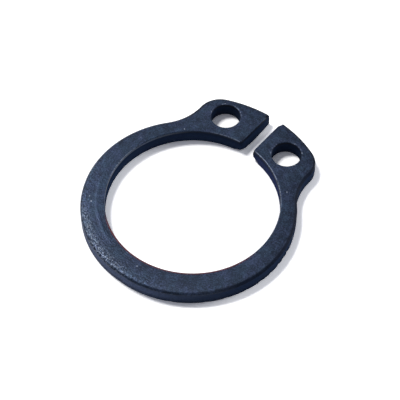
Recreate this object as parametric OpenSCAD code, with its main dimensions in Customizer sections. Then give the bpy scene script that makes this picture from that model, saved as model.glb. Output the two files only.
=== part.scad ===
// External retaining ring (circlip) for a 12 mm shaft, in millimetres.
// One piece, stamped from spring steel strip, lying on its underside.
// The origin is the centre of the inner circle, on the underside.
// +Z is the ring's axis and +Y runs from the centre through the gap.

/* [Band] */
// Inner diameter of the free ring, before it is spread over the shaft
inner_d = 11; // [10.5:0.1:11.5]
// Thickness of the strip
thickness = 1; // [0.8:0.05:1.2]
// Radial width of the band at the back, opposite the gap
back_w = 1.56; // [1.45:0.01:1.7]
// Radial width of the band at its two sides, level with the centre
side_w = 1.3; // [1.2:0.01:1.4]
// How far the centre of each flank's outer arc lies to its own side of the centre line
flank_shift = 0.14; // [0:0.01:0.3]

/* [Lugs] */
// Height of the lugs above the inner circle, on the line of the gap
lug_h = 3.03; // [2.8:0.01:3.3]
// Width over both lugs
lugs_w = 8.9; // [8.6:0.05:9.4]
// How far the centre of the lugs' outer arc lies below the ring's centre
lug_drop = 0.22; // [0:0.01:0.5]
// Radius of the round shoulder at each lug's outer corner
shoulder_r = 1.58; // [1.2:0.01:1.9]
// Radius of the hollow root where each lug runs into the band
root_r = 3.52; // [2.8:0.01:4]

/* [Plier holes] */
// Diameter of each hole
hole_d = 1.9; // [1.6:0.05:2]
// Distance between the two holes' centres
hole_spacing = 4.96; // [4.6:0.02:5.2]
// Height of the holes' centres above the inner circle, on the line of the gap
hole_rise = 1.09; // [1:0.01:1.25]
// How far the pair of holes is stamped off the line of the gap, towards -X
hole_shift = 0.15; // [0:0.01:0.2]

/* [Gap] */
// Width of the gap between the lugs
gap_w = 1.02; // [0.8:0.02:1.4]

/* [Stamped edges] */
// Width of the die roll along the outer edge of the top face
roll_w = 0.5; // [0.3:0.02:0.6]
// Height of that roll
roll_h = 0.2; // [0.1:0.01:0.3]
// Break of the top edge at the inner circle and along the gap
inner_break = 0.06; // [0.02:0.01:0.12]
// Break of the top edge at each plier hole
hole_break = 0.1; // [0.02:0.01:0.15]

/* [Hidden] */
$fn = 120;

// How far a cutting solid stands out past the faces that it cuts
past = 1;
// How far neighbouring arcs lap over each other where they touch, so that they merge cleanly
lap = 0.005;
// Angle by which a swept band runs on inside its neighbour
overrun = 6;
// How far a lug's core runs on past the lines on which two bands meet
tuck = 0.4;
inner_r = inner_d / 2;
hole_r = hole_d / 2;
hole_y = inner_r + hole_rise;
// Inner radius of the swept bands, well inside the bore that is cut afterwards
band_from = inner_r / 2;
// Depth to which the band of a hollow root reaches into the strip
root_reach = 2 * roll_w;
// Radius of the roll, which is tangent to the top face and meets the wall at roll_h
roll_r = (roll_w * roll_w + roll_h * roll_h) / (2 * roll_h);

function angle_of(v) = atan2(v[1], v[0]);

// Flank of the band: the arc about a shifted centre that gives the two widths above
side_x = inner_r + side_w;
back_y = inner_r + back_w;
flank_drop = (back_y * back_y - side_x * side_x + 2 * side_x * flank_shift) / (2 * back_y);
flank_c = [flank_shift, -flank_drop];
flank_r = norm([flank_shift, back_y - flank_drop]);

// Outer edge of the lugs, and the shoulder circle that touches it from inside
lug_c = [0, -lug_drop];
lug_r = inner_r + lug_h + lug_drop;
shoulder_x = lugs_w / 2 - shoulder_r;
shoulder_c = lug_c + [shoulder_x, sqrt(pow(lug_r - shoulder_r, 2) - pow(shoulder_x, 2))];

// Hollow root: the circle outside the ring that touches the flank and the shoulder
to_shoulder = shoulder_c - flank_c;
span = norm(to_shoulder);
along = (pow(flank_r + root_r, 2) - pow(shoulder_r + root_r, 2) + span * span) / (2 * span);
aside = sqrt(pow(flank_r + root_r, 2) - along * along);
root_c = flank_c + (along * to_shoulder + aside * [to_shoulder[1], -to_shoulder[0]]) / span;

// Directions in which neighbouring arcs touch
flank_end = angle_of(root_c - flank_c);
root_end = angle_of(shoulder_c - root_c);
shoulder_end = angle_of(shoulder_c - lug_c);

// Section through the strip at its outer wall: x runs inwards from the wall, y is the height
module wall_section(reach) {
    square([reach, thickness - roll_h]);
    translate([roll_w, 0]) square([reach - roll_w, thickness]);
    intersection() {
        translate([0, thickness - roll_h]) square([roll_w, roll_h]);
        translate([roll_w, thickness - roll_r]) circle(roll_r);
    }
}

// Strip behind an outward arc: centre, radius, first angle, last angle, depth behind the wall
module outward_band(c, r, from, to, reach) {
    translate([c[0], c[1], 0])
        rotate_extrude(start = from, angle = to - from)
            translate([r, 0]) mirror([1, 0]) wall_section(reach);
}

// Strip around a hollow arc: the wall is at radius r and the strip lies outside it
module hollow_band(c, r, from, to, reach) {
    translate([c[0], c[1], 0])
        rotate_extrude(start = from, angle = to - from)
            translate([r, 0]) wall_section(reach);
}

// Inside of a lug and its root, which runs on into the swept bands on every side
module lug_core() {
    linear_extrude(thickness) {
        difference() {
            polygon([
                flank_c - [0, tuck],
                root_c,
                shoulder_c + [0, tuck],
                [-tuck, shoulder_c[1] + tuck],
                [-tuck, flank_c[1] - tuck]
            ]);
            translate(root_c) circle(root_r + (roll_w + root_reach) / 2);
        }
        translate(shoulder_c) circle(shoulder_r / 2);
    }
}

// Right half of the stamped strip, before the bore, the gap and the plier hole are cut
module half_blank() {
    difference() {
        union() {
            outward_band(flank_c, flank_r, -90 - overrun, flank_end + overrun, flank_r - band_from);
            hollow_band(root_c, root_r + lap, root_end, flank_end + 180, root_reach);
            outward_band(shoulder_c, shoulder_r + lap, 0, 360, 0.75 * shoulder_r);
            outward_band(lug_c, lug_r, shoulder_end, 90 + overrun, lug_r - band_from);
            lug_core();
        }
        translate([-2 * lug_r, -2 * lug_r, -past])
            cube([2 * lug_r, 4 * lug_r, thickness + 2 * past]);
    }
}

module blank() {
    half_blank();
    mirror([1, 0, 0]) half_blank();
}

// Section of a round cutter, which widens where it breaks the top edge
module cutter_section(r, edge_break) {
    polygon([
        [0, -past],
        [r, -past],
        [r, thickness - edge_break],
        [r + edge_break + past, thickness + past],
        [0, thickness + past]
    ]);
}

// Round cutter that stands on the origin
module round_cutter(r, edge_break) {
    rotate_extrude() cutter_section(r, edge_break);
}

// Straight cutter for the gap, with the same break along its top edges
module gap_cutter() {
    rotate([90, 0, 180]) linear_extrude(lug_r + past) {
        cutter_section(gap_w / 2, inner_break);
        mirror([1, 0]) cutter_section(gap_w / 2, inner_break);
    }
}

module retaining_ring() {
    color([0.15, 0.18, 0.23]) difference() {
        blank();
        round_cutter(inner_r, inner_break);
        gap_cutter();
        for (side = [-1, 1])
            translate([side * hole_spacing / 2 - hole_shift, hole_y, 0])
                round_cutter(hole_r, hole_break);
    }
}

retaining_ring();
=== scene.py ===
"""A stamped external retaining ring of blackened spring steel, lying on a pale floor.

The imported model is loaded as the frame, the ring is modelled again with its rolled and worn
edges in place of the plain CAD node, and a plain soft studio is set up around it.
"""
import logging
import math
from collections.abc import Callable, Iterable
from dataclasses import dataclass, field
from enum import Enum
from functools import partial, reduce

import bmesh
import bpy
from mathutils import Matrix, Vector


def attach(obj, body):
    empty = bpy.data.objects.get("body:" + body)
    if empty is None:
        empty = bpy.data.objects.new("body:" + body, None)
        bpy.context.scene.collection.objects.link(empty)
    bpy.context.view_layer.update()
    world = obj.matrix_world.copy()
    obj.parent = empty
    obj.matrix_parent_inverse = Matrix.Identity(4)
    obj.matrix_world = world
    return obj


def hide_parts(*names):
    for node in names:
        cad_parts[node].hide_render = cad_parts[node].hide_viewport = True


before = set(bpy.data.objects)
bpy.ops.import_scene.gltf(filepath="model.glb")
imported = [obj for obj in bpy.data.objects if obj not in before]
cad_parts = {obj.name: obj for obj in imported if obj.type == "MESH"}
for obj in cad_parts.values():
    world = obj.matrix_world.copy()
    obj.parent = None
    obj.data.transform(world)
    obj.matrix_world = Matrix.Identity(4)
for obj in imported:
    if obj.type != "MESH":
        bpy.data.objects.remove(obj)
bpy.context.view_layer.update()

NODE_NAME = "retaining_ring"
BODY_NAME = "root"

# One millimetre in the frame's unit, which is the metre
MM = 0.001
# How close two vertices lie to be merged, and how close one lies to a line to count as on it
MERGE_MM = 0.0004
NEAR_MM = 0.001

Point = tuple[float, float]
Colour = tuple[float, float, float]
Socket = bpy.types.NodeSocket
# What feeds a node's input: another node's output, a number, or a colour
Source = Socket | float | Colour

log = logging.getLogger("retaining_ring")


class Face(Enum):
    """The two flat sides of the strip."""

    TOP = 1
    UNDER = -1


class Grain(Enum):
    """How closely the marks of each kind of grain lie, in marks per millimetre."""

    CRYSTAL = 16.0
    SPECKLE = 9.0
    MOTTLE = 2.4
    CLOUD = 1.4


@dataclass(frozen=True)
class Arc:
    """A circular arc of a contour, in millimetres and degrees.

    Args:
        x: Centre, across the ring.
        y: Centre, along the line of the gap.
        r: Radius.
        start: Angle at which the arc starts.
        end: Angle at which it ends.
    """

    x: float
    y: float
    r: float
    start: float
    end: float

    def point(self, angle: float) -> Point:
        """Returns the point of the arc's circle at an angle."""
        a = math.radians(angle)
        return self.x + self.r * math.cos(a), self.y + self.r * math.sin(a)


def heading(a: Point, b: Point) -> float:
    """Returns the direction from a to b in degrees."""
    return math.degrees(math.atan2(b[1] - a[1], b[0] - a[0]))


@dataclass(frozen=True)
class RingSizes:
    """Sizes of the ring in millimetres, as in the part's source.

    Args:
        inner_r: Radius of the inner circle.
        thickness: Thickness of the strip.
        back_w: Width of the band opposite the gap.
        side_w: Width of the band level with the centre.
        flank_shift: How far the centre of each flank's arc lies to its own side.
        lug_h: Height of the lugs above the inner circle.
        lugs_w: Width over both lugs.
        lug_drop: How far the centre of the lugs' outer arc lies below the ring's centre.
        shoulder_r: Radius of each lug's round shoulder.
        root_r: Radius of the hollow root between lug and band.
        hole_r: Radius of the plier holes.
        hole_spacing: Distance between the holes' centres.
        hole_rise: Height of those centres above the inner circle.
        hole_shift: How far the pair of holes lies off the line of the gap, towards -X.
        gap_w: Width of the gap.
    """

    inner_r: float = 5.5
    thickness: float = 1.0
    back_w: float = 1.56
    side_w: float = 1.3
    flank_shift: float = 0.14
    lug_h: float = 3.03
    lugs_w: float = 8.9
    lug_drop: float = 0.22
    shoulder_r: float = 1.58
    root_r: float = 3.52
    hole_r: float = 0.95
    hole_spacing: float = 4.96
    hole_rise: float = 1.09
    hole_shift: float = 0.15
    gap_w: float = 1.02

    def hole_centres(self) -> list[Point]:
        """Returns the centres of the left and the right plier hole."""
        y = self.inner_r + self.hole_rise
        return [(side * self.hole_spacing / 2 - self.hole_shift, y) for side in (-1, 1)]

    def outer_arcs(self) -> list[Arc]:
        """Works out the right half of the outer contour.

        Returns:
            The arcs from the line of the gap to the back, each touching the next.
        """
        side_x, back_y = self.inner_r + self.side_w, self.inner_r + self.back_w
        drop = (back_y**2 - side_x**2 + 2 * side_x * self.flank_shift) / (2 * back_y)
        flank = (self.flank_shift, -drop)
        flank_r = math.hypot(self.flank_shift, back_y - drop)
        lug = (0.0, -self.lug_drop)
        lug_r = self.inner_r + self.lug_h + self.lug_drop
        shoulder_x = self.lugs_w / 2 - self.shoulder_r
        rise = math.sqrt((lug_r - self.shoulder_r) ** 2 - shoulder_x**2)
        shoulder = (shoulder_x, lug[1] + rise)
        run = (shoulder[0] - flank[0], shoulder[1] - flank[1])
        span = math.hypot(*run)
        near, far = flank_r + self.root_r, self.shoulder_r + self.root_r
        along = (near**2 - far**2 + span**2) / (2 * span)
        aside = math.sqrt(near**2 - along**2)
        root = (
            flank[0] + (along * run[0] + aside * run[1]) / span,
            flank[1] + (along * run[1] - aside * run[0]) / span,
        )
        back = -90 - math.degrees(math.asin(self.flank_shift / flank_r))
        return [
            Arc(*lug, lug_r, 90, heading(lug, shoulder)),
            Arc(*shoulder, self.shoulder_r, heading(lug, shoulder), heading(shoulder, root)),
            Arc(*root, self.root_r, heading(root, shoulder), heading(root, flank) % 360),
            Arc(*flank, flank_r, heading(flank, root), back),
        ]


class Workpiece:
    """A mesh that is shaped in edit mode by operators on what is selected by its place.

    Args:
        name: Name of the object.
    """

    def __init__(self, name: str) -> None:
        """Adds one vertex, made from a small plane, and opens it in edit mode."""
        bpy.ops.object.select_all(action="DESELECT")
        bpy.ops.mesh.primitive_plane_add(size=MM)
        self.obj = bpy.context.object
        self.obj.name = self.obj.data.name = name
        bpy.ops.object.mode_set(mode="EDIT")
        bpy.ops.mesh.select_mode(type="VERT")
        bpy.ops.mesh.merge(type="CENTER")

    def draw(self, points: list[tuple[float, float, float]]) -> None:
        """Draws a chain of edges by extruding the selected vertex from point to point.

        Args:
            points: Places of the chain's vertices in millimetres; the first one is where the
                selected vertex is moved to.
        """
        self.move(*points[0])
        for a, b in zip(points, points[1:]):
            self.extrude(*(q - p for p, q in zip(a, b)))
        bpy.ops.mesh.select_all(action="SELECT")

    def move(self, x: float, y: float, z: float, reach: float = 0.0) -> None:
        """Moves what is selected.

        Args:
            x: Step across the ring in millimetres.
            y: Step along the line of the gap.
            z: Step upwards.
            reach: How far round it the surface is drawn along, less and less.
        """
        bpy.ops.transform.translate(
            value=(x * MM, y * MM, z * MM),
            use_proportional_edit=reach > 0,
            proportional_edit_falloff="SMOOTH",
            proportional_size=reach * MM,
        )

    def extrude(self, x: float, y: float, z: float) -> None:
        """Extrudes what is selected by a step in millimetres."""
        step = (x * MM, y * MM, z * MM)
        bpy.ops.mesh.extrude_region_move(TRANSFORM_OT_translate={"value": step})

    def spin(self, arc: Arc, step: float) -> None:
        """Sweeps what is selected along an arc; the spin's own angle counts clockwise.

        Args:
            arc: The arc whose start the selection is at.
            step: Longest step along the arc in millimetres.
        """
        turn = math.radians(arc.end - arc.start)
        steps = max(2, math.ceil(abs(turn) * arc.r / step))
        bpy.ops.mesh.spin(
            steps=steps, angle=-turn, center=(arc.x * MM, arc.y * MM, 0), axis=(0, 0, 1)
        )

    def select(self, test: Callable[[Vector], bool]) -> int:
        """Selects the vertices whose place passes a test.

        Args:
            test: Tells from a place in millimetres whether the vertex there is selected.

        Returns:
            How many vertices are selected.
        """
        bm = bmesh.from_edit_mesh(self.obj.data)
        count = 0
        for v in bm.verts:
            v.select_set(test(v.co / MM))
            count += v.select
        bm.select_flush_mode()
        bmesh.update_edit_mesh(self.obj.data)
        return count

    def flatten_to_middle(self) -> None:
        """Brings what is selected onto the plane through the gap."""
        bpy.ops.transform.resize(value=(0, 1, 1), center_override=(0, 0, 0))

    def mirror(self) -> None:
        """Adds the left half and merges the two on the plane through the gap."""
        bpy.ops.object.mode_set(mode="OBJECT")
        mod = self.obj.modifiers.new("left half", "MIRROR")
        mod.use_axis = (True, False, False)
        mod.merge_threshold = MERGE_MM * MM
        bpy.ops.object.modifier_apply(modifier=mod.name)
        bpy.ops.object.mode_set(mode="EDIT")

    def merge(self) -> None:
        """Merges vertices that lie on each other."""
        bpy.ops.mesh.select_all(action="SELECT")
        bpy.ops.mesh.remove_doubles(threshold=MERGE_MM * MM)

    def cap(self, face: Face) -> None:
        """Closes the open loop on one flat side.

        Args:
            face: The side that is closed.
        """
        bm = bmesh.from_edit_mesh(self.obj.data)
        level = max(v.co.z * face.value for v in bm.verts)
        bpy.ops.mesh.select_all(action="DESELECT")
        for e in bm.edges:
            if e.is_boundary and all(v.co.z * face.value > level - MM * MERGE_MM for v in e.verts):
                e.select_set(True)
        bmesh.update_edit_mesh(self.obj.data)
        bpy.ops.mesh.edge_face_add()

    def close(self) -> bpy.types.Object:
        """Merges, caps both sides, turns the faces outwards and leaves edit mode.

        Returns:
            The closed piece.
        """
        self.merge()
        for face in Face:
            self.cap(face)
        bpy.ops.mesh.select_all(action="SELECT")
        bpy.ops.mesh.normals_make_consistent(inside=False)
        bpy.ops.object.mode_set(mode="OBJECT")
        return self.obj


@dataclass
class StampedBlank:
    """The strip as the outer die leaves it, before the bore, gap and holes are punched.

    Args:
        sizes: The ring's sizes.
        roll_w: Width of the die roll.
        roll_h: Height of the die roll without the crown.
        crown_w: Width over which the top face falls away towards the outer edge.
        crown_h: How far it falls.
        top_stops: Distances inwards from the wall at which the top face has a vertex.
        nose_r: Radius between the roll and the wall.
        nose_steps: Steps round that radius.
        cut_stops: Heights of the vertices on the part of the wall that was cut.
        fracture_z: Height of the line below which the wall broke instead of being cut.
        fracture_h: Height of the step at that line.
        fracture_in: How far the broken wall leans in.
        broken_stops: Heights of the vertices on the part of the wall that broke.
        foot: Break of the lower edge.
        under_w: How far the section runs in along the underside.
        chips: Angle in degrees and depth of each chip along the lower edge.
        chip_size: How far each chip reaches along the edge.
        chip_h: Height up to which the wall itself is pressed in, and not drawn along.
        chip_in: Depth up to which it is, behind the narrowest part of the band.
        chip_turn: Angle in radians up to which it is, on each side of a chip.
        step: Longest step along the contour.
    """

    sizes: RingSizes
    roll_w: float = 0.22
    roll_h: float = 0.1
    crown_w: float = 1.0
    crown_h: float = 0.055
    top_stops: tuple[float, ...] = (
        *(0.95, 0.75, 0.62, 0.54, 0.48, 0.42),
        *(0.36, 0.3, 0.25, 0.2, 0.155, 0.115, 0.08),
    )
    nose_r: float = 0.06
    nose_steps: int = 5
    cut_stops: tuple[float, ...] = (0.64, 0.55, 0.46, 0.4)
    fracture_z: float = 0.34
    fracture_h: float = 0.03
    fracture_in: float = 0.012
    broken_stops: tuple[float, ...] = (0.26, 0.18, 0.1)
    foot: float = 0.025
    under_w: float = 0.3
    chips: tuple[Point, ...] = (
        (-62, 0.025),
        (-44, 0.02),
        (-33, 0.03),
        (-22, 0.025),
        (-13, 0.04),
        (-6, 0.03),
        (0.5, 0.045),
        (5.5, 0.03),
        (10, 0.04),
        (17, 0.06),
        (27, 0.02),
    )
    chip_size: float = 0.22
    chip_h: float = 0.12
    chip_in: float = 0.1
    chip_turn: float = 0.008
    step: float = 0.11

    def top_height(self, inwards: float) -> float:
        """Works out the height of the top face, with its roll and its crown.

        Args:
            inwards: Distance from the outer wall.

        Returns:
            The height above the underside.
        """
        t = self.sizes.thickness
        r = (self.roll_w**2 + self.roll_h**2) / (2 * self.roll_h)
        left = max(0.0, self.roll_w - inwards)
        crown = self.crown_h * max(0.0, 1 - inwards / self.crown_w) ** 2
        return t - (r - math.sqrt(r * r - left * left)) - crown

    def section(self) -> list[Point]:
        """Works out the strip's section at its outer edge.

        Returns:
            Distances inwards from the wall and heights, from the top face to the underside.
        """
        points = [(self.crown_w, self.sizes.thickness)]
        points += [(d, self.top_height(d)) for d in self.top_stops]
        corner, last = self.top_height(0), self.top_stops[-1]
        slope = math.atan2(self.top_height(last) - corner, last)
        back_off = self.nose_r * math.tan((math.pi / 2 - slope) / 2)
        for i in range(self.nose_steps + 1):
            a = slope + (math.pi / 2 - slope) * i / self.nose_steps
            points.append(
                (
                    self.nose_r * (1 - math.sin(a)),
                    corner - back_off + self.nose_r * math.cos(a),
                )
            )
        half, lean = self.fracture_h / 2, self.fracture_in
        points += [(0.0, z) for z in (*self.cut_stops, self.fracture_z + half)]
        points += [(lean * 0.5, self.fracture_z - half)]
        points += [(lean * 0.7, z) for z in self.broken_stops]
        points += [(lean, self.foot * 1.6), (lean * 1.2, self.foot * 0.8)]
        points += [(lean + self.foot * 0.5, self.foot * 0.25)]
        points += [(lean + self.foot * 1.3, 0.0), (self.under_w, 0.0)]
        return points

    def build(self) -> bpy.types.Object:
        """Sweeps the section round the contour and closes both flat sides.

        Returns:
            The blank.
        """
        arcs = self.sizes.outer_arcs()
        top = arcs[0].y + arcs[0].r
        piece = Workpiece("blank")
        piece.draw([(0.0, top - d, z) for d, z in self.section()])
        for arc in arcs:
            piece.spin(arc, self.step)
        piece.flatten_to_middle()
        piece.mirror()
        self.chip(piece)
        return piece.close()

    def chip(self, piece: Workpiece) -> None:
        """Presses in the lower edge of the wall where bits of the burr have broken off.

        Args:
            piece: The blank, still open in edit mode.
        """
        rim = self.sizes.inner_r + self.sizes.side_w - self.chip_in
        for angle, depth in self.chips:
            a = math.radians(angle)
            way = Vector((math.cos(a), math.sin(a)))

            def on_chip(p: Vector) -> bool:
                low = NEAR_MM < p.z < self.chip_h
                return low and p.xy.length > rim and p.xy.angle(way) < self.chip_turn

            found = piece.select(on_chip)
            log.debug("chip at %.0f degrees moves %d vertices", angle, found)
            if found:
                piece.move(-way.x * depth, -way.y * depth, 0, self.chip_size)


@dataclass(frozen=True)
class PunchEdge:
    """The edge that a punch leaves.

    Args:
        roll_w: How far the rolled top edge reaches into the face.
        roll_h: How far it reaches down the wall.
        foot: Break of the lower edge.
        wall_stops: Heights of the vertices on the wall.
        below: How far the punch stands out below the strip.
        above: How far it stands out above the strip.
        roll_turn: Angle in degrees of the rolled edge's arc.
        lift: How far the roll's end lies above the face, so that the cut ends cleanly.
    """

    roll_w: float
    roll_h: float
    foot: float = 0.02
    wall_stops: tuple[float, ...] = (0.15, 0.32, 0.5, 0.66, 0.8)
    below: float = 0.4
    above: float = 0.5
    roll_turn: float = 78.0
    lift: float = 0.004

    def section(self, thickness: float, rounds: int = 6) -> list[Point]:
        """Works out the punch's section.

        Args:
            thickness: Thickness of the strip.
            rounds: Steps of the rolled edge.

        Returns:
            Distances into the strip and heights, from below the strip to above it.
        """
        points = [(self.foot * 1.2, -self.below), (self.foot * 1.2, -self.foot * 0.2)]
        points += [(self.foot * 0.3, self.foot * 0.7), (0.0, self.foot * 1.4)]
        points += [(0.0, z) for z in self.wall_stops]
        for i in range(rounds + 1):
            a = math.radians(self.roll_turn * i / rounds)
            points.append(
                (
                    self.roll_w * (1 - math.cos(a)),
                    thickness - self.roll_h * (1 - math.sin(a)),
                )
            )
        d, z = points[-1]
        run = self.roll_w * 0.5
        rise = run * self.roll_h * math.cos(math.radians(self.roll_turn)) / self.roll_w
        points.append((d + run, z + rise + self.lift))
        points.append((d + run, thickness + self.above))
        return points


@dataclass
class KeyholePunch:
    """The punch that opens the bore and the gap together.

    Args:
        sizes: The ring's sizes.
        edge: The edge that it leaves.
        corner_r: Radius of the upright corners between the gap and the bore.
        corner_step: Longest step along those corners.
        far_y: Where the punch ends, beyond the lugs.
        last_row: How far before the lugs' outer edge the last row of the gap's wall lies.
        belly: How far the walls of the gap stand out at the corners, and half way up the gap
            in addition.
        wall_rows: Lower and upper height of each row of the gap's wall, its share of the belly
            and its share of the dip.
        apex_at: Direction in degrees in which an upright corner's line stands out.
        foot_r: How far the lower end of the upright corners is rounded off.
        foot_h: Height up to which that end is pushed directly.
        dip: How far the rolled edge of the gap drops at the lugs' outer edge.
        spread: How far it widens there.
        rows: Steps up the gap.
        step: Longest step along the bore.
    """

    sizes: RingSizes
    edge: PunchEdge = PunchEdge(0.075, 0.06)
    corner_r: float = 0.18
    corner_step: float = 0.03
    far_y: float = 9.6
    last_row: float = 0.1
    belly: tuple[float, float] = (0.085, 0.1125)
    wall_rows: tuple[tuple[float, float, float, float], ...] = (
        (-0.1, 0.1, 0.55, 0.0),
        (0.1, 0.25, 0.9, 0.0),
        (0.25, 0.4, 1.0, 0.0),
        (0.4, 0.6, 1.0, 0.2),
        (0.6, 0.75, 0.75, 0.5),
        (0.75, 0.9, 0.35, 0.8),
        (0.9, 1.2, 0.0, 1.0),
    )
    apex_at: float = 225.0
    foot_r: float = 0.1
    foot_h: float = 0.06
    dip: float = 0.2
    spread: float = 0.02
    rows: int = 8
    step: float = 0.1

    def swell(
        self, piece: Workpiece, test: Callable[[Vector], bool], belly: float, dip: bool = False
    ) -> None:
        """Moves the rows of the gap's wall, each by its share.

        Args:
            piece: The punch.
            test: Tells which vertices belong to the stretch of wall that moves.
            belly: How far the middle rows move towards the middle of the gap.
            dip: Whether the top rows drop and spread.
        """
        for low, high, out, down in self.wall_rows:
            x, z = -belly * out, 0.0
            if dip:
                x, z = x + self.spread * down, -self.dip * down
            if piece.select(lambda p: low <= p.z < high and test(p)):
                piece.move(x, 0, z)

    def climb(self, piece: Workpiece, start: float) -> None:
        """Extrudes the section from the corner up the gap, with the belly of its wall.

        Args:
            piece: The punch, with the section at the corner selected.
            start: Where that section lies along the gap.
        """
        length = self.sizes.inner_r + self.sizes.lug_h - self.last_row - start
        at, out = start, self.belly[0]
        for row in range(1, self.rows + 1):
            share = row / self.rows
            y = start + length * share
            piece.extrude(0, y - at, 0)
            wanted = self.belly[0] * (1 - share) + self.belly[1] * math.sin(math.pi * share)
            self.swell(piece, lambda p: abs(p.y - y) < NEAR_MM, wanted - out, row == self.rows)
            at, out = y, wanted
            piece.select(lambda p: abs(p.y - y) < NEAR_MM)
        piece.extrude(0, self.far_y - at, 0)

    def build(self) -> bpy.types.Object:
        """Draws the section at the corner and sweeps it round the bore and up the gap.

        Returns:
            The punch.
        """
        half, r = self.sizes.gap_w / 2, self.sizes.inner_r
        cx = half + self.corner_r
        cy = math.sqrt((r + self.corner_r) ** 2 - cx**2)
        turn = heading((cx, cy), (0, 0))
        corner = Arc(cx, cy, self.corner_r, 180, turn % 360)
        bore = Arc(0, 0, r, heading((0, 0), (cx, cy)), -90)
        piece = Workpiece("keyhole punch")
        section = self.edge.section(self.sizes.thickness)
        piece.draw([(half + d, cy, z) for d, z in section])
        piece.spin(corner, self.corner_step)
        piece.spin(bore, self.step)
        piece.flatten_to_middle()
        low_y = cy - 2 * self.corner_r
        self.swell(piece, lambda p: 0 < p.x < cx + NEAR_MM and p.y > low_y, self.belly[0])
        piece.select(lambda p: abs(p.y - cy) < NEAR_MM and abs(p.x - half) < 2 * self.corner_r)
        self.climb(piece, cy)
        apex = corner.point(self.apex_at)
        piece.select(lambda p: p.z < self.foot_h and math.dist(p.xy, apex) < self.foot_r)
        piece.move(self.foot_r, self.foot_r, 0, 4 * self.foot_r)
        piece.mirror()
        piece.merge()
        piece.select(lambda p: p.y > self.far_y - NEAR_MM)
        bpy.ops.mesh.select_mode(type="EDGE")
        bpy.ops.mesh.bridge_edge_loops()
        bpy.ops.mesh.select_mode(type="VERT")
        return piece.close()


@dataclass
class PlierPunch:
    """The punch of one plier hole.

    Args:
        sizes: The ring's sizes.
        centre: The hole's centre.
        edge: The edge that it leaves.
        step: Longest step round the hole.
    """

    sizes: RingSizes
    centre: Point
    edge: PunchEdge = PunchEdge(0.08, 0.07)
    step: float = 0.07

    def build(self) -> bpy.types.Object:
        """Spins the section once round the hole's centre.

        Returns:
            The punch.
        """
        (x, y), r = self.centre, self.sizes.hole_r
        piece = Workpiece("plier punch")
        piece.draw([(x + r + d, y, z) for d, z in self.edge.section(self.sizes.thickness)])
        piece.spin(Arc(x, y, r, 0, 360), self.step)
        return piece.close()


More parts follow.
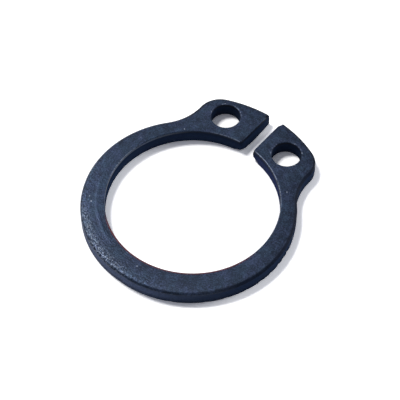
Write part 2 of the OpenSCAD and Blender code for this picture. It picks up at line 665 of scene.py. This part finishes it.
class NodeBench:
    """A short way to lay out the nodes of a finish.

    Args:
        material: The new material.
    """

    def __init__(self, material: bpy.types.Material) -> None:
        """Finds the shader that the new material starts with."""
        material.use_nodes = True
        self.tree = material.node_tree
        self.shader = self.tree.nodes["Principled BSDF"]

    def link(self, source: Source, socket: Socket) -> None:
        """Feeds an input.

        Args:
            source: The output or the value that it takes.
            socket: The input.
        """
        if isinstance(source, Socket):
            self.tree.links.new(source, socket)
        else:
            socket.default_value = source

    def math(self, kind: str, *sources: Source) -> Socket:
        """Adds a Math node.

        Args:
            kind: The node's operation.
            sources: One or two values.

        Returns:
            The result.
        """
        node = self.tree.nodes.new("ShaderNodeMath")
        node.operation = kind
        for socket, source in zip(node.inputs, sources):
            self.link(source, socket)
        return node.outputs[0]

    def times(self, *sources: Source) -> Source:
        """Returns the product of two or more values."""
        return reduce(partial(self.math, "MULTIPLY"), sources)

    def plus(self, *sources: Source) -> Source:
        """Returns the sum of two or more values."""
        return reduce(partial(self.math, "ADD"), sources)

    def rest(self, value: Source) -> Socket:
        """Returns what is left of 1 when a value is taken from it."""
        return self.math("SUBTRACT", 1.0, value)

    def step(self, value: Source, low: float, high: float) -> Socket:
        """Makes a smooth step.

        Args:
            value: The value that it follows.
            low: Where the step is 0.
            high: Where it is 1, above or below the first.

        Returns:
            The step's height.
        """
        node = self.tree.nodes.new("ShaderNodeMapRange")
        node.interpolation_type = "SMOOTHSTEP"
        flip = low > high
        self.link(value, node.inputs["Value"])
        node.inputs["From Min"].default_value = min(low, high)
        node.inputs["From Max"].default_value = max(low, high)
        node.inputs["To Min"].default_value = 1.0 if flip else 0.0
        node.inputs["To Max"].default_value = 0.0 if flip else 1.0
        return node.outputs[0]

    def ridge(self, value: Source, at: float, width: float) -> Socket:
        """Makes a ridge, which is 1 at one level of a value and falls away on both sides.

        Args:
            value: The value that it follows.
            at: The level at which it is 1.
            width: How far from that level it is 0.

        Returns:
            The ridge's height.
        """
        off = self.math("ABSOLUTE", self.math("SUBTRACT", value, at))
        return self.step(off, width, 0.0)

    def vector(self, x: Source, y: Source) -> Socket:
        """Puts a level vector together.

        Args:
            x: Its first part.
            y: Its second part.

        Returns:
            The vector.
        """
        node = self.tree.nodes.new("ShaderNodeCombineXYZ")
        for socket, source in zip(node.inputs, (x, y)):
            self.link(source, socket)
        return node.outputs[0]

    def place_mm(self) -> tuple[Socket, ...]:
        """Finds the place on the piece.

        Returns:
            The place in millimetres, whole and as x, y and z.
        """
        coord = self.tree.nodes.new("ShaderNodeTexCoord")
        scale = self.tree.nodes.new("ShaderNodeVectorMath")
        scale.operation = "SCALE"
        self.link(coord.outputs["Object"], scale.inputs[0])
        scale.inputs["Scale"].default_value = 1 / MM
        parts = self.tree.nodes.new("ShaderNodeSeparateXYZ")
        self.link(scale.outputs[0], parts.inputs[0])
        return (scale.outputs[0], *parts.outputs)

    def far_from(self, place: Socket, spot: tuple[float, float, float]) -> Socket:
        """Measures how far a place is from a spot.

        Args:
            place: The place.
            spot: The spot, in the same unit.

        Returns:
            The distance.
        """
        node = self.tree.nodes.new("ShaderNodeVectorMath")
        node.operation = "DISTANCE"
        self.link(place, node.inputs[0])
        node.inputs[1].default_value = spot
        return node.outputs["Value"]

    def noise(self, place: Socket, scale: float, detail: float) -> Socket:
        """Adds a cloudy pattern.

        Args:
            place: Where on the pattern a point lies.
            scale: How many marks it has to a millimetre.
            detail: How many finer layers lie over it.

        Returns:
            The pattern's value.
        """
        node = self.tree.nodes.new("ShaderNodeTexNoise")
        self.link(place, node.inputs["Vector"])
        node.inputs["Scale"].default_value = scale
        node.inputs["Detail"].default_value = detail
        return node.outputs[0]

    def cells(self, place: Socket, scale: float) -> tuple[Socket, Socket]:
        """Adds a pattern of cells.

        Args:
            place: Where on the pattern a point lies.
            scale: How many cells it has to a millimetre.

        Returns:
            The distance from the nearest cell's centre, and that cell's own shade.
        """
        node = self.tree.nodes.new("ShaderNodeTexVoronoi")
        self.link(place, node.inputs["Vector"])
        node.inputs["Scale"].default_value = scale
        shade = self.tree.nodes.new("ShaderNodeSeparateColor")
        self.link(node.outputs["Color"], shade.inputs[0])
        return node.outputs["Distance"], shade.outputs[0]

    def blend(self, share: Source, low: Source, high: Source) -> Socket:
        """Mixes two colours.

        Args:
            share: 0 gives the first colour and 1 the second.
            low: The first colour.
            high: The second colour.

        Returns:
            The mixed colour.
        """
        node = self.tree.nodes.new("ShaderNodeMix")
        node.data_type = "RGBA"
        node.clamp_factor = True
        self.link(share, node.inputs[0])
        for socket, colour in zip(node.inputs[6:8], (low, high)):
            self.link(colour if isinstance(colour, Socket) else (*colour, 1), socket)
        return node.outputs[2]


@dataclass
class SteelMarks:
    """Where the marks of the finish lie, as node values that its colour and relief share.

    A mark's value runs from 0 to 1. Levels and distances are in millimetres, and a direction
    is in degrees from +X towards +Y.

    Args:
        bench: The node bench.
        sizes: The ring's sizes.
        rubbed_and_lit_way: Direction of the rubbed side, in degrees, towards which sheen and light
            are painted.
        speck_spots: Places of the largest bright specks on the top face, in millimetres.
    """

    bench: NodeBench
    sizes: RingSizes
    rubbed_and_lit_way: float = -127.0
    speck_spots: tuple[Point, ...] = (
        (-5.19, -3.85),
        (-4.84, -4.09),
        (0.56, -6.01),
        (-3.31, 7.37),
        (-2.09, 7.39),
        (3.05, 7.29),
        (4.2, 4.22),
        (4.51, 5.98),
        (4.58, 5.88),
        (-4.0, 4.05),
    )

    def __post_init__(self) -> None:
        """Lays out the places and the grains."""
        b = self.bench
        self.place, self.x, self.y, self.z = b.place_mm()
        self.r = b.math("SQRT", b.plus(b.times(self.x, self.x), b.times(self.y, self.y)))
        self.facing = self.towards(self.rubbed_and_lit_way)
        self.grain = {grain: b.noise(self.place, grain.value, 3) for grain in Grain}
        turn = b.math("ARCTAN2", self.y, self.x)
        self.lines = b.noise(b.vector(b.times(self.r, 9.0), b.times(turn, 4.0)), 1.0, 4)
        self.scratches = b.noise(b.vector(b.times(self.r, 15.0), b.times(turn, 30.0)), 1.0, 3)
        # The top with its rolled edge, both flat sides, and the height at which rims wear
        self.top = b.step(self.z, 0.80, 0.86)
        self.flat = b.plus(self.top, b.step(self.z, 0.02, 0.005))
        self.rim = b.step(self.z, 0.925, 0.96)
        # The strip beyond the wall of the inner circle, and the part at that wall
        inner_r = self.sizes.inner_r
        self.outside = b.step(self.r, inner_r + 0.2, inner_r + 0.4)
        self.inside = b.rest(self.outside)
        # The rubbed side of the top, its outer edge with painted sheen, the edge facing away
        self.rubbed = b.times(self.top, b.step(self.facing, 0.4, 0.95))
        self.rolled = b.times(self.rubbed, b.step(self.r, inner_r + 0.75, inner_r + 1.45))
        # painted shade: the roll that faces away is darkened and made less shiny
        self.dull_and_shaded = b.times(b.step(self.z, 0.975, 0.94), b.step(self.facing, 0.3, -0.25))
        self.shine = b.rest(b.times(self.dull_and_shaded, 0.95))

    def towards(self, way: float) -> Socket:
        """Tells how squarely a place lies towards a direction.

        Args:
            way: The direction.

        Returns:
            The cosine of the angle between the two.
        """
        b, a = self.bench, math.radians(way)
        along = b.plus(b.times(self.x, math.cos(a)), b.times(self.y, math.sin(a)))
        return b.math("DIVIDE", along, self.r)

    def ridge(self) -> Source:
        """Works out the faint ridge round the left side inside the roll, also a painted highlight.

        Returns:
            Its height.
        """
        b = self.bench
        wander = b.plus(self.r, b.times(self.lines, 0.2), -0.1)
        line = b.times(b.ridge(wander, self.sizes.inner_r + 0.48, 0.2), self.top)
        return b.times(line, b.step(self.towards(-133.0), 0.86, 0.98))

    def sheen_flecks(self) -> Source:
        """Works out the short bright strokes, a painted highlight in the sheen on the rubbed roll.

        Returns:
            How bright they are.
        """
        b = self.bench
        mixed = b.plus(b.times(self.scratches, 0.5), b.times(self.grain[Grain.SPECKLE], 0.5))
        # the strokes are painted where the lamp's sheen falls, towards -112 degrees
        side = b.step(self.towards(-112.0), 0.86, 0.98)
        return b.times(self.rolled, side, b.step(mixed, 0.48, 0.58), 0.32)

    def inner_wear_and_highlight(self) -> Source:
        """Works out the narrow line along the inner edge: worn skin, painted as the edge's
        highlight.

        Returns:
            How far it is worn off and painted bright, on three stretches of the edge.
        """
        b = self.bench
        line = b.times(b.ridge(self.r, self.sizes.inner_r + 0.03, 0.036), self.rim)
        broken = b.step(self.grain[Grain.SPECKLE], 0.36, 0.52)
        right = b.times(b.step(self.x, 0.5, 1.0), b.step(self.y, 0.3, 1.6), 0.36)
        left_side = b.times(b.step(self.y, -2.6, -1.2), b.step(self.y, 1.6, 0.2))
        left = b.times(b.step(self.x, -2.0, -3.5), left_side, 0.4)
        lug = b.times(b.step(self.x, -0.2, -0.6), b.step(self.y, 4.8, 5.2), 0.3)
        return b.times(line, broken, b.plus(right, left, lug))

    def hole_wear_and_glints(self) -> Source:
        """Works out the worn bits along the rims of the plier holes, painted as glints.

        Returns:
            How far the skin is worn off there, with the painted glints.
        """
        b = self.bench
        rims = 0.0
        for spot in self.sizes.hole_centres():
            away = b.far_from(self.place, (*spot, self.sizes.thickness))
            rims = b.plus(rims, b.ridge(away, self.sizes.hole_r + 0.05, 0.07))
        patchy = b.step(self.grain[Grain.MOTTLE], 0.46, 0.58)
        bits = b.step(self.grain[Grain.SPECKLE], 0.5, 0.64)
        return b.times(rims, self.rim, patchy, bits, 0.4)

    def specks(self) -> Source:
        """Works out the bright specks, the largest by their place and the others as a scatter.

        Returns:
            How bright they are.
        """
        b = self.bench
        gap, shade = b.cells(self.place, 2.1)
        spots = b.times(b.step(gap, 0.09, 0.04), b.step(shade, 0.86, 0.9), 0.5)
        for x, y in self.speck_spots:
            away = b.far_from(self.place, (x, y, self.sizes.thickness))
            spots = b.plus(spots, b.times(b.step(away, 0.055, 0.02), 0.75))
        return spots

    def brown(self) -> Source:
        """Works out the narrow brown line along the near inner edge.

        Returns:
            How strong it is.
        """
        b = self.bench
        line = b.ridge(self.r, self.sizes.inner_r + 0.05, 0.1)
        return b.times(line, self.top, b.step(self.towards(-68.0), 0.42, 0.7), 0.95)


@dataclass(frozen=True)
class SteelFinish:
    """Blackened spring steel: a dark blue-grey phosphate skin, thinner and worn on the edges.

    Args:
        deep_and_shade: Colour of the thickest skin, also the painted shade on the inner rim and
            below the roll.
        painted_shade: Colour of the painted shade under an inner rim and on the roll that faces
            away.
        matt: Colour of the matt skin on the walls.
        blue: Colour of the inner wall at the lug on the +X side.
        painted_lit_wall: Colour of the walls towards -127 degrees, painted lighter as the light on
            that side.
        pale: Colour of the skin where it is thinnest, also taken by the painted sheen.
        teal: Colour that the pale skin takes in patches.
        bare_and_glint: Colour of the steel on worn edges and specks, and of the painted glints and
            strokes.
        rust: Colour of the brown line along the near inner edge.
        metal: How far the skin shines like metal.
        roughness: Roughness of the skin.
        grain_mm: Height of the skin's grain in millimetres.
    """

    deep_and_shade: Colour = (0.010, 0.017, 0.034)
    painted_shade: Colour = (0.004, 0.006, 0.013)
    matt: Colour = (0.014, 0.025, 0.056)
    blue: Colour = (0.034, 0.048, 0.125)
    painted_lit_wall: Colour = (0.078, 0.110, 0.205)
    pale: Colour = (0.040, 0.060, 0.122)
    teal: Colour = (0.034, 0.061, 0.110)
    bare_and_glint: Colour = (0.36, 0.41, 0.51)
    rust: Colour = (0.12, 0.022, 0.02)
    metal: float = 0.72
    roughness: float = 0.4
    grain_mm: float = 0.016

    def build(self, sizes: RingSizes) -> bpy.types.Material:
        """Makes the node material, whose patterns lie on Object coordinates.

        Args:
            sizes: The ring's sizes, which place the marks of wear.

        Returns:
            The material.
        """
        mat = bpy.data.materials.new("blackened spring steel")
        bench = NodeBench(mat)
        marks = SteelMarks(bench, sizes)
        inputs = bench.shader.inputs
        bench.link(self.colour(marks), inputs["Base Color"])
        bench.link(self.gloss(marks), inputs["Roughness"])
        bench.link(bench.times(marks.flat, marks.shine, self.metal), inputs["Metallic"])
        bench.link(self.specular(marks), inputs["Specular IOR Level"])
        bump = bench.tree.nodes.new("ShaderNodeBump")
        bump.inputs["Strength"].default_value = 1.0
        bump.inputs["Distance"].default_value = self.grain_mm * MM
        bench.link(self.relief(marks), bump.inputs["Height"])
        bench.link(bump.outputs[0], inputs["Normal"])
        return mat

    def skin(self, marks: SteelMarks) -> Source:
        """Works out how thinly the skin lies on the flat sides, with painted sheen and shade.

        Args:
            marks: The marks of the finish.

        Returns:
            0 for the thickest skin and painted shade, 1 for the thinnest skin and painted sheen.
        """
        bench = marks.bench
        mixed = bench.plus(
            bench.times(marks.grain[Grain.CRYSTAL], 0.38),
            bench.times(marks.grain[Grain.SPECKLE], 0.3),
            bench.times(marks.grain[Grain.MOTTLE], 0.2),
            bench.times(marks.lines, 0.12),
        )
        even = bench.step(mixed, 0.41, 0.61)
        spread = bench.math("SUBTRACT", marks.grain[Grain.SPECKLE], 0.43)
        # painted sheen, speckled with dark pits, on the rolled edge of the rubbed side
        burnish_and_sheen = bench.times(marks.rolled, spread, 1.7)
        # painted shade: the top is darkened on the side towards -82 degrees
        side_shade = bench.times(bench.step(marks.towards(-82.0), 0.55, 0.95), -0.2)
        # the faint ridge adds a painted highlight
        return bench.plus(even, burnish_and_sheen, bench.times(marks.ridge(), 0.3), side_shade)

    def face_colour(self, marks: SteelMarks) -> Socket:
        """Works out the colour of the flat sides and the rolled edge, with painted light and
        shade.

        Args:
            marks: The marks of the finish.

        Returns:
            The colour.
        """
        bench = marks.bench
        patches = bench.step(marks.grain[Grain.CLOUD], 0.4, 0.6)
        light = bench.blend(patches, self.pale, self.teal)
        colour = bench.blend(self.skin(marks), self.deep_and_shade, light)
        # painted highlight: bright strokes in the sheen on the rubbed roll
        colour = bench.blend(marks.sheen_flecks(), colour, self.bare_and_glint)
        # painted shade along the roll that faces away
        colour = bench.blend(bench.times(marks.dull_and_shaded, 0.85), colour, self.painted_shade)
        # painted shade on the lower part of the inner rounded edge
        rim = bench.times(bench.ridge(marks.z, 0.925, 0.065), bench.step(marks.r, 5.66, 5.6))
        return bench.blend(bench.times(rim, 0.85), colour, self.deep_and_shade)

    def wall_colour(self, marks: SteelMarks) -> Socket:
        """Works out the colour of the walls, with painted light and shade.

        Args:
            marks: The marks of the finish.

        Returns:
            The colour.
        """
        bench = marks.bench
        lug = bench.times(marks.inside, bench.step(marks.x, 0.3, 1.2))
        # painted light: walls towards -127 degrees are lighter, as if lit from that side
        side = bench.times(marks.outside, bench.step(marks.facing, 0.12, 0.95))
        colour = bench.blend(side, bench.blend(lug, self.matt, self.blue), self.painted_lit_wall)
        # painted shade: a dark line along the rounded edge between roll and outer wall
        nose_shade = bench.times(bench.ridge(marks.z, 0.83, 0.06), marks.outside, 0.8)
        broken = bench.times(marks.outside, bench.step(marks.z, 0.4, 0.3), 0.35)
        tarnish = bench.times(bench.math("SUBTRACT", 0.62, marks.grain[Grain.SPECKLE]), 1.6)
        colour = bench.blend(bench.plus(nose_shade, broken, tarnish), colour, self.deep_and_shade)
        # painted shade: the inner walls are darker just under the rim
        under_rim_shade = bench.times(marks.inside, bench.step(marks.z, 0.5, 0.85), 0.4)
        return bench.blend(under_rim_shade, colour, self.painted_shade)

    def colour(self, marks: SteelMarks) -> Socket:
        """Works out the colour of the whole ring, with its brown line, worn spots and painted
        glints.

        Args:
            marks: The marks of the finish.

        Returns:
            The colour.
        """
        bench = marks.bench
        wall, face = self.wall_colour(marks), self.face_colour(marks)
        colour = bench.blend(marks.flat, wall, face)
        colour = bench.blend(marks.brown(), colour, self.rust)
        # worn spots and specks, with the inner edge line and hole rims painted bright as highlight
        # and glints
        worn = bench.plus(marks.inner_wear_and_highlight(), marks.hole_wear_and_glints(), marks.specks())
        return bench.blend(worn, colour, self.bare_and_glint)

    def gloss(self, marks: SteelMarks) -> Source:
        """Works out the roughness: less where the edge is rubbed, more on the walls.

        Args:
            marks: The marks of the finish.

        Returns:
            The roughness.
        """
        bench = marks.bench
        return bench.plus(
            self.roughness - 0.08,
            bench.times(marks.grain[Grain.MOTTLE], 0.08),
            bench.times(marks.grain[Grain.CRYSTAL], 0.08),
            bench.times(marks.rolled, -0.08),
            bench.times(bench.rest(marks.flat), 0.2),
        )

    def specular(self, marks: SteelMarks) -> Source:
        """Works out how far the skin reflects: next to nothing on the walls.

        Args:
            marks: The marks of the finish.

        Returns:
            The specular level.
        """
        bench = marks.bench
        return bench.plus(
            bench.times(marks.flat, marks.shine, 0.45),
            bench.times(marks.outside, marks.shine, 0.05),
        )

    def relief(self, marks: SteelMarks) -> Source:
        """Works out the surface's grain, pits and scratches.

        Args:
            marks: The marks of the finish.

        Returns:
            The height, as a share of the grain's.
        """
        bench = marks.bench
        return bench.plus(
            marks.grain[Grain.CRYSTAL],
            bench.times(marks.grain[Grain.SPECKLE], 0.9),
            bench.times(marks.rolled, marks.grain[Grain.SPECKLE], 1.6),
            bench.times(marks.rubbed, marks.scratches, 0.7),
            bench.times(marks.lines, 0.25),
            bench.times(marks.ridge(), 0.8),
        )


@dataclass
class RetainingRing:
    """The finished ring: blank, punched openings and finish.

    Args:
        sizes: The ring's sizes.
        finish: The finish it takes.
        smooth_angle: Angle in degrees up to which faces are shaded as one surface.
    """

    sizes: RingSizes = field(default_factory=RingSizes)
    finish: SteelFinish = field(default_factory=SteelFinish)
    smooth_angle: float = 34.0

    def punch(self, blank: bpy.types.Object, tool: bpy.types.Object) -> None:
        """Cuts one punch's shape out of the blank.

        Args:
            blank: The blank.
            tool: The punch, which is used up.
        """
        bpy.ops.object.select_all(action="DESELECT")
        bpy.context.view_layer.objects.active = blank
        cut = blank.modifiers.new("punch", "BOOLEAN")
        cut.operation = "DIFFERENCE"
        cut.solver = "EXACT"
        cut.object = tool
        bpy.ops.object.modifier_apply(modifier=cut.name)
        bpy.data.objects.remove(tool, do_unlink=True)

    def build(self) -> bpy.types.Object:
        """Stamps the ring and shades it.

        Returns:
            The ring.
        """
        ring = StampedBlank(self.sizes).build()
        self.punch(ring, KeyholePunch(self.sizes).build())
        for centre in self.sizes.hole_centres():
            self.punch(ring, PlierPunch(self.sizes, centre).build())
        ring.name = ring.data.name = "stamped_ring"
        bpy.ops.object.select_all(action="DESELECT")
        ring.select_set(True)
        bpy.context.view_layer.objects.active = ring
        bpy.ops.object.shade_smooth_by_angle(angle=math.radians(self.smooth_angle))
        normals = ring.modifiers.new("even shading", "WEIGHTED_NORMAL")
        normals.keep_sharp = True
        bpy.ops.object.modifier_apply(modifier=normals.name)
        return ring

    def dress(self, ring: bpy.types.Object) -> None:
        """Gives the ring its finish and sets it in the frame.

        Args:
            ring: The stamped ring.
        """
        ring.data.materials.clear()
        ring.data.materials.append(self.finish.build(self.sizes))
        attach(ring, BODY_NAME)
        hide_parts(NODE_NAME)


@dataclass(frozen=True)
class SoftLamp:
    """A square area lamp that faces the ring.

    Args:
        name: Name of the lamp.
        towards: Direction from the ring to the lamp.
        distance: Distance in metres.
        size: Side of the lamp in metres.
        watts: Power.
        colour: Colour of the light.
    """

    name: str
    towards: tuple[float, float, float]
    distance: float
    size: float
    watts: float
    colour: Colour = (1, 1, 1)

    def build(self) -> None:
        """Adds the lamp."""
        light = bpy.data.lights.new(self.name, "AREA")
        light.shape = "SQUARE"
        light.size = self.size
        light.energy = self.watts
        light.color = self.colour
        obj = bpy.data.objects.new(self.name, light)
        bpy.context.scene.collection.objects.link(obj)
        way = Vector(self.towards).normalized()
        obj.location = way * self.distance
        obj.rotation_euler = way.to_track_quat("Z", "Y").to_euler()


@dataclass(frozen=True)
class StudioCamera:
    """The camera at the photograph's viewing angle.

    Args:
        azimuth: Turn round the ring in degrees, from the side opposite the gap.
        elevation: Height of the view in degrees.
        roll: Roll of the camera in degrees.
        distance: Distance to the ring's centre in metres.
        picture_px: Width of the picture in pixels.
        focal_px: Focal length in pixels.
        aim_px: Where the ring's centre lies from the picture's middle, in pixels.
        sensor_mm: Width of the sensor in millimetres.
    """

    azimuth: float = 39.01
    elevation: float = 53.69
    roll: float = 0.2735
    distance: float = 0.10628
    picture_px: float = 400
    focal_px: float = 1686.6
    aim_px: Point = (-7.354, 9.144)
    sensor_mm: float = 36

    def build(self) -> None:
        """Adds the camera and makes it the scene's."""
        a, e, t = (math.radians(v) for v in (self.azimuth, self.elevation, self.roll))
        back = Vector((math.sin(a) * math.cos(e), -math.cos(a) * math.cos(e), math.sin(e)))
        level = Vector((math.cos(a), math.sin(a), 0))
        upright = back.cross(level)
        right = level * math.cos(t) + upright * math.sin(t)
        up = upright * math.cos(t) - level * math.sin(t)
        per_px = self.distance / self.focal_px
        at = back * self.distance - right * self.aim_px[0] * per_px + up * self.aim_px[1] * per_px
        data = bpy.data.cameras.new("camera")
        data.sensor_width = self.sensor_mm
        data.lens = self.focal_px * self.sensor_mm / self.picture_px
        data.clip_start = 0.001
        data.clip_end = 10
        camera = bpy.data.objects.new("camera", data)
        bpy.context.scene.collection.objects.link(camera)
        turn = Matrix((right, up, back)).transposed()
        camera.matrix_world = Matrix.Translation(at) @ turn.to_4x4()
        bpy.context.scene.camera = camera


@dataclass(frozen=True)
class FloorFinish:
    """A matt white floor, which the camera and the reflections see a little paler.

    Args:
        colour: Colour of the floor.
        seen: Colour of the floor in the camera's view and in reflections.
    """

    colour: Colour = (0.88, 0.88, 0.88)
    seen: Colour = (1.45, 1.45, 1.45)

    def build(self) -> bpy.types.Material:
        """Makes the floor's material.

        Returns:
            The material.
        """
        mat = bpy.data.materials.new("pale floor")
        bench = NodeBench(mat)
        path = bench.tree.nodes.new("ShaderNodeLightPath").outputs
        seen = bench.math(
            "MAXIMUM",
            path["Is Camera Ray"],
            bench.math("MAXIMUM", path["Is Glossy Ray"], path["Is Transmission Ray"]),
        )
        matt = bench.tree.nodes.new("ShaderNodeBsdfDiffuse")
        bench.link(bench.blend(seen, self.colour, self.seen), matt.inputs["Color"])
        out = bench.tree.nodes["Material Output"]
        bench.link(matt.outputs[0], out.inputs["Surface"])
        return mat


@dataclass
class Studio:
    """The plain white floor, the lamps and the camera.

    Args:
        floor_size: Side of the floor in metres.
        floor_finish: Finish of the floor.
        sky: Colour of the light from all round.
        lamps: The lamps.
        camera: The camera.
    """

    floor_size: float = 3.0
    floor_finish: FloorFinish = field(default_factory=FloorFinish)
    sky: Colour = (0.29, 0.3, 0.34)
    lamps: tuple[SoftLamp, ...] = (
        SoftLamp("window", (-0.51, 0.02, 0.86), 0.6, 0.13, 2.5, (1.0, 0.99, 0.97)),
        SoftLamp("fill", (0.45, 0.8, 0.35), 0.6, 0.3, 1.9),
    )
    camera: StudioCamera = field(default_factory=StudioCamera)

    def floor(self) -> None:
        """Lays the floor."""
        bpy.ops.object.select_all(action="DESELECT")
        bpy.ops.mesh.primitive_plane_add(size=self.floor_size)
        plane = bpy.context.object
        plane.name = "floor"
        plane.data.materials.append(self.floor_finish.build())

    def build(self) -> None:
        """Sets up the whole studio."""
        scene = bpy.context.scene
        scene.view_settings.view_transform = "Standard"
        world = bpy.data.worlds.new("soft room")
        scene.world = world
        world.use_nodes = True
        world.node_tree.nodes["Background"].inputs["Color"].default_value = (*self.sky, 1)
        self.floor()
        for lamp in self.lamps:
            lamp.build()
        self.camera.build()


def main() -> None:
    """Builds the ring, then the studio."""
    logging.basicConfig(level=logging.INFO, format="%(message)s")
    maker = RetainingRing()
    ring = maker.build()
    maker.dress(ring)
    box = [round(v / MM, 3) for v in ring.dimensions]
    log.info("%s: %d faces, box %s mm", ring.name, len(ring.data.polygons), box)
    Studio().build()


if __name__ == "__main__":
    main()
